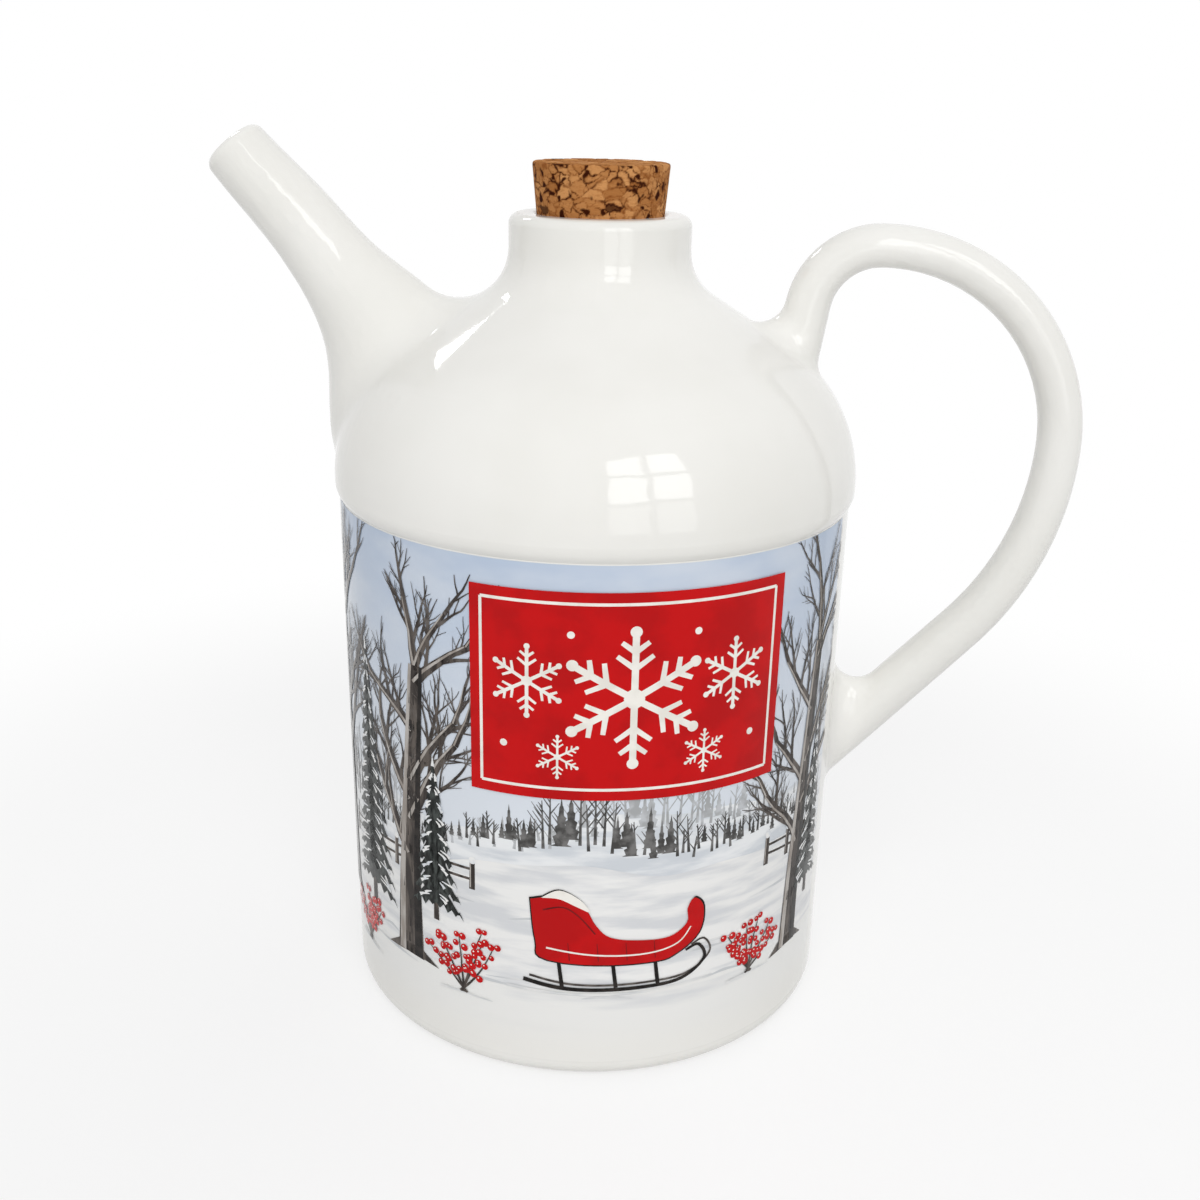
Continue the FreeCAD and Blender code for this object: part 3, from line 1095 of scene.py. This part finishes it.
@dataclass
class WinterPrint:
    """A winter landscape round the straight side, under a plain red label.

    The rows of trees, bushes, sleighs and fences hold what their motif is given: a
    place round the side, a foot's height and sizes, all in millimetres.
    """

    wrap: BodyWrap = field(default_factory=BodyWrap)
    left: float = -179.0
    right: float = 47.7
    wash_low: float = 3.2
    fences: tuple = ((-49.0, -13.0, 30.0), (30.0, 47.0, 33.0), (-150.0, -96.0, 31.0))
    firs: tuple = (
        (-41.0, 19.5, 46.0, 15.0), (-24.5, 24.0, 27.0, 10.5), (43.0, 22.0, 30.0, 10.0),
        (-76.0, 23.0, 34.0, 12.0), (-92.0, 20.0, 48.0, 15.5), (-128.0, 22.0, 40.0, 13.5),
        (-140.0, 25.0, 26.0, 9.5), (-166.0, 20.0, 46.0, 15.0))
    bare_trees: tuple = (
        (-30.5, 15.0, 50.0, 6.2, 3.0), (37.5, 14.5, 52.0, 5.2, 3.5), (-52.5, 17.0, 50.0, 5.2, -2.0),
        (-65.0, 21.0, 44.0, 3.8, 3.0), (-108.0, 17.0, 50.0, 5.8, -3.0), (-152.0, 18.0, 47.0, 4.8, 2.0))
    sleighs: tuple = ((4.0, 16.5, 27.0), (-118.0, 15.5, 23.0))
    bushes: tuple = (
        (-19.5, 12.5, 12.0), (27.5, 14.0, 9.5), (-44.0, 10.5, 10.0), (-84.0, 12.0, 11.0),
        (-135.5, 12.0, 10.5), (-160.0, 12.5, 9.5))
    label_low: float = 48.5
    label_high: float = 80.0
    label_left: float = -17.5
    label_right: float = 29.5
    label_inset: float = 1.7
    seed: int = 21
    rng: random.Random = field(init=False)

    def build(self) -> list[bpy.types.Object]:
        """Draw the print from the wash up to the label.

        Returns:
            The print's pieces.
        """
        self.rng = random.Random(self.seed)
        return [self.wash(), self.woods(), self.hills(), self.trees(), self.foreground(), self.label()]

    def layer(self, lift: Lift) -> tuple[PrintLayer, Brush]:
        """Return an empty layer and a brush for it."""
        layer = PrintLayer(lift, self.wrap, self.left, self.right)
        return layer, Brush(layer, self.rng)

    def wash(self) -> bpy.types.Object:
        """Draw the sky and snow that lie under everything else.

        Returns:
            The layer's piece.
        """
        layer, brush = self.layer(Lift.WASH)
        layer.low = self.wash_low
        foot, top = layer.low - 1.0, layer.high + 1.0
        brush.fill([(self.left, foot), (self.right, foot), (self.right, top), (self.left, top)], Ink.SNOW)
        piece = layer.build()
        piece.data.materials.clear()
        piece.data.materials.append(SkyFinish().material(GlazeFinish()))
        return piece

    def woods(self) -> bpy.types.Object:
        """Draw the far hills with the woods along their tops.

        Returns:
            The layer's piece.
        """
        layer, brush = self.layer(Lift.WOODS)
        brush.hill(43.5, 20.0, 0.4, Ink.HILL_FAR)
        edge = 1.5
        for level, base, phase, ink, tall, gap in (
            (1, 42.0, 0.4, Ink.WOODS_FAR, (4.0, 8.5), 1.25),
            (2, 39.0, 1.3, Ink.WOODS_NEAR, (4.5, 9.5), 0.95),
        ):
            u = self.left + edge
            while u < self.right - edge:
                foot = base + crest(u, phase) - self.rng.uniform(0.0, 1.8)
                grow = self.rng.uniform(*tall) * (0.72 + 0.28 * math.sin(u / 9.0 + phase))
                motif = brush.small_fir if self.rng.random() < 0.42 else brush.small_tree
                motif(u, foot, grow, ink, level)
                u += gap * self.rng.uniform(0.5, 1.5)
        return layer.build()

    def hills(self) -> bpy.types.Object:
        """Draw the near hills, with grey drift shadows and a rail fence.

        Returns:
            The layer's piece.
        """
        layer, brush = self.layer(Lift.HILLS)
        brush.hill(35.0, 16.0, 1.3, Ink.HILL_NEAR)
        drifts = 46
        for _ in range(drifts):
            u = self.rng.uniform(self.left + 8, self.right - 8)
            z = self.rng.uniform(13.0, 31.0)
            long = self.rng.uniform(3.0, 8.0)
            rise = self.rng.uniform(-0.6, 0.9)
            path = smooth([(u - long, z), (u, z + rise), (u + long, z - 0.2)], 5)
            brush.line(path[:6], 0.05, 0.55, Ink.DRIFT, 1)
            brush.line(path[5:], 0.55, 0.05, Ink.DRIFT, 1)
        for row in self.fences:
            brush.fence(*row)
        return layer.build()

    def trees(self) -> bpy.types.Object:
        """Draw the tall trees that frame the front and stand round the back.

        Returns:
            The layer's piece.
        """
        layer, brush = self.layer(Lift.TREES)
        for row in self.firs:
            brush.fir(*row)
        for row in self.bare_trees:
            brush.bare_tree(*row)
        return layer.build()

    def foreground(self) -> bpy.types.Object:
        """Draw the sleighs and the berry bushes near the foot of the picture.

        Returns:
            The layer's piece.
        """
        layer, brush = self.layer(Lift.FOREGROUND)
        for row in self.sleighs:
            brush.sleigh(*row)
        for u, foot, tall in self.bushes:
            brush.berry_bush(u, foot, tall)
            brush.line([(u - 4.5, foot - 0.4), (u, foot - 0.1), (u + 5.0, foot - 0.3)], 0.5, 0.15, Ink.DRIFT)
        return layer.build()

    def label(self) -> bpy.types.Object:
        """Draw the red label with its cream line and snowflakes, and no lettering.

        Returns:
            The layer's piece.
        """
        layer, brush = self.layer(Lift.LABEL)
        brush.fill(self.label_corners(0.0), Ink.RED)
        corners = self.label_corners(self.label_inset)
        for start, end in zip(corners, corners[1:] + corners[:1]):
            brush.line([start, end], 0.45, 0.45, Ink.CREAM, 1)
        middle = (self.label_left + self.label_right) / 2
        brush.snowflake(middle, 64.3, 10.0)
        for side in (-1, 1):
            for out, z, size in ((15.0, 66.5, 5.2), (10.6, 55.2, 3.2)):
                brush.snowflake(middle + side * out, z, size)
            for out, z in ((18.4, 56.6), (8.9, 73.8)):
                brush.fill(disc(middle + side * out, z, 0.55), Ink.CREAM, 1)
        return layer.build()

    def label_corners(self, inset: float) -> Outline:
        """Return the label's corners, moved in by an inset."""
        left, right = self.label_left + inset, self.label_right - inset
        low, high = self.label_low + inset, self.label_high - inset
        return [(left, low), (right, low), (right, high), (left, high)]


# --- studio ------------------------------------------------------------------

def level_way(azimuth: float) -> Vector:
    """Return the level direction at an azimuth in degrees."""
    turn = math.radians(azimuth)
    return Vector((math.cos(turn), math.sin(turn), 0.0))


def add_lamp(name: str, place: Vector, way: Vector, width: float, height: float,
             power: float) -> bpy.types.Object:
    """Add a rectangular lamp.

    Args:
        name: the lamp's name.
        place: its middle.
        way: the direction from what it lights back to the lamp.
        width: its width, in metres.
        height: its height.
        power: its power, in watts.

    Returns:
        The lamp.
    """
    data = bpy.data.lights.new(name, "AREA")
    data.shape = "RECTANGLE"
    data.size = width
    data.size_y = height
    data.energy = power
    lamp = bpy.data.objects.new(name, data)
    lamp.location = place
    lamp.rotation_mode = "QUATERNION"
    lamp.rotation_quaternion = (-way).to_track_quat("-Z", "Y")
    bpy.context.scene.collection.objects.link(lamp)
    return lamp


@dataclass
class Softbox:
    """A rectangular lamp that points at the jug."""

    name: str
    azimuth: float
    elevation: float
    away: float
    width: float
    height: float
    power: float
    in_gloss: bool = True
    in_diffuse: bool = True
    aim: Colour = (0.0, 0.0, 0.08)

    def build(self) -> None:
        """Place the lamp round the jug by angle and distance."""
        rise = math.radians(self.elevation)
        way = level_way(self.azimuth) * math.cos(rise) + Vector((0.0, 0.0, math.sin(rise)))
        place = Vector(self.aim) + way * self.away
        lamp = add_lamp(self.name, place, way, self.width, self.height, self.power)
        lamp.visible_glossy = self.in_gloss
        lamp.visible_diffuse = self.in_diffuse


@dataclass
class PanedWindow:
    """An upright window of lit panes, two across, which shows only in the glaze."""

    azimuth: float = -63.0
    away: float = 0.5
    width: float = 0.145
    height: float = 0.155
    across: float = 0.086
    lowest: float = 0.105
    rise: float = 0.178
    powers: tuple = (0.07, 0.2, 0.2)

    def build(self) -> None:
        """Add the panes, row by row from the lowest, in two columns."""
        out = level_way(self.azimuth)
        along = level_way(self.azimuth + 90.0)
        for column in (-1, 1):
            for row, power in enumerate(self.powers):
                height = Vector((0.0, 0.0, self.lowest + self.rise * row))
                place = out * self.away + along * column * self.across + height
                lamp = add_lamp(f"pane_{column}_{row}", place, out, self.width, self.height, power)
                lamp.visible_diffuse = False
                lamp.visible_camera = False


@dataclass
class Studio:
    """A pale floor, a white surround and soft lamps."""

    floor_radius: float = 3.0
    ambient: float = 0.56
    paper: Colour = (0.64, 0.64, 0.635)
    paper_light: Colour = (0.66, 0.66, 0.655)
    paper_glow: float = 0.655
    paper_shade: float = 0.32
    shadow_reach: float = 0.11
    white_from: float = 0.22

    def backdrop_share(self, tree: bpy.types.NodeTree) -> bpy.types.NodeSocket:
        """Tell the rays from the camera or off gloss or glass from the rest.

        Args:
            tree: the node tree to add to.

        Returns:
            A socket that is 1 for those rays and 0 for the rest.
        """
        path = tree.nodes.new("ShaderNodeLightPath")
        total = path.outputs["Is Camera Ray"]
        for name in ("Is Glossy Ray", "Is Transmission Ray"):
            joined = tree.nodes.new("ShaderNodeMath")
            joined.operation = "MAXIMUM"
            tree.links.new(total, joined.inputs[0])
            tree.links.new(path.outputs[name], joined.inputs[1])
            total = joined.outputs[0]
        return total

    def surround(self) -> None:
        """Light the scene evenly, with a white backdrop."""
        world = bpy.data.worlds.new("surround")
        world.use_nodes = True
        bpy.context.scene.world = world
        tree = world.node_tree
        tree.nodes.clear()
        output = tree.nodes.new("ShaderNodeOutputWorld")
        strength = tree.nodes.new("ShaderNodeMix")
        strength.data_type = "FLOAT"
        strength.inputs[2].default_value = self.ambient
        strength.inputs[3].default_value = 1.0
        tree.links.new(self.backdrop_share(tree), strength.inputs[0])
        light = tree.nodes.new("ShaderNodeBackground")
        light.inputs[0].default_value = (1.0, 1.0, 1.0, 1.0)
        tree.links.new(strength.outputs[0], light.inputs[1])
        tree.links.new(light.outputs[0], output.inputs[0])

    def floor(self) -> bpy.types.Object:
        """Lay the white floor, which keeps the jug's soft shadow.

        Returns:
            The floor's piece.
        """
        deselect()
        bpy.ops.mesh.primitive_circle_add(vertices=96, radius=self.floor_radius, fill_type="NGON")
        piece = bpy.context.object
        piece.name = "studio_floor"
        sheet = Sheet("floor_paper")
        reach = sheet.node("VectorMath", {0: sheet.place()}, operation="LENGTH").outputs["Value"]
        far = sheet.ramp(reach, self.shadow_reach, self.white_from)
        tint = sheet.mix(sheet.cloud(sheet.place(), 90.0), self.paper, self.paper_light)
        shade = sheet.node("BsdfDiffuse", {0: tint})
        faint = sheet.node("BsdfDiffuse", {0: (*(self.paper_shade,) * 3, 1.0)})
        glow = sheet.node("Emission", {0: (1.0, 1.0, 1.0, 1.0), 1: self.paper_glow})
        near = sheet.node("AddShader", {0: faint.outputs[0], 1: glow.outputs[0]})
        white = sheet.node("Emission", {0: (1.0, 1.0, 1.0, 1.0), 1: 1.0})
        seen = sheet.node("MixShader", {0: far, 1: near.outputs[0], 2: white.outputs[0]})
        both = sheet.node("MixShader", {0: self.backdrop_share(sheet.tree), 1: shade.outputs[0],
                                        2: seen.outputs[0]})
        sheet.tree.links.new(both.outputs[0], sheet.output.inputs[0])
        piece.data.materials.append(sheet.material)
        return piece

    def lamps(self) -> None:
        """Add the soft key and fill, the paned window and a small strip at the back."""
        Softbox("key", -84.0, 35.0, 1.2, 1.1, 0.9, 7.9, in_gloss=False).build()
        Softbox("fill", 50.0, 35.0, 1.4, 1.0, 1.0, 3.0, in_gloss=False).build()
        PanedWindow().build()
        Softbox("strip", 132.0, 34.5, 1.5, 0.2, 0.17, 1.4, in_diffuse=False).build()


@dataclass
class StudioCamera:
    """The camera, set by its place, its turns and its lens."""

    place: Colour = (0.01523, -0.21784, 0.14354)
    yaw: float = math.radians(0.302)
    pitch: float = math.radians(19.949)
    roll: float = math.radians(1.221)
    lens: float = 42.03

    def build(self) -> bpy.types.Object:
        """Add the camera, aimed a little right of the jug's axis.

        Returns:
            The camera.
        """
        place = Vector(self.place)
        heading = math.atan2(-place.y, -place.x) - self.yaw
        level = Vector((math.cos(heading), math.sin(heading), 0.0))
        right = Vector((math.sin(heading), -math.cos(heading), 0.0))
        ahead = level * math.cos(self.pitch) - Vector((0.0, 0.0, math.sin(self.pitch)))
        above = right.cross(ahead)
        across = right * math.cos(self.roll) + above * math.sin(self.roll)
        upward = above * math.cos(self.roll) - right * math.sin(self.roll)
        data = bpy.data.cameras.new("studio_camera")
        data.lens = self.lens
        data.sensor_width = 36.0
        data.clip_start = 0.01
        camera = bpy.data.objects.new("studio_camera", data)
        camera.matrix_world = frame_matrix(across, upward, -ahead, place)
        bpy.context.scene.collection.objects.link(camera)
        bpy.context.scene.camera = camera
        return camera


def frame_matrix(x_way: Vector, y_way: Vector, z_way: Vector, place: Vector) -> Matrix:
    """Build the matrix of a frame.

    Args:
        x_way: its first direction.
        y_way: its second.
        z_way: its third.
        place: its origin.

    Returns:
        The matrix.
    """
    turn = Matrix((x_way, y_way, z_way)).transposed().to_4x4()
    turn.translation = place
    return turn


# --- whole scene -------------------------------------------------------------

def report(piece: bpy.types.Object) -> None:
    """Log a finished piece's name and size."""
    LOG.info("%s: %d faces", piece.name, len(piece.data.polygons))


def main() -> None:
    """Build the studio, the jug, its print and its cork."""
    logging.basicConfig(level=logging.INFO, format="%(name)s: %(message)s")
    bpy.context.scene.view_settings.view_transform = "Standard"
    StudioCamera().build()
    studio = Studio()
    studio.surround()
    studio.lamps()
    report(studio.floor())
    report(GlazedJug().build())
    for piece in WinterPrint().build():
        report(piece)
    report(CorkStopper().build())


if __name__ == "__main__":
    main()
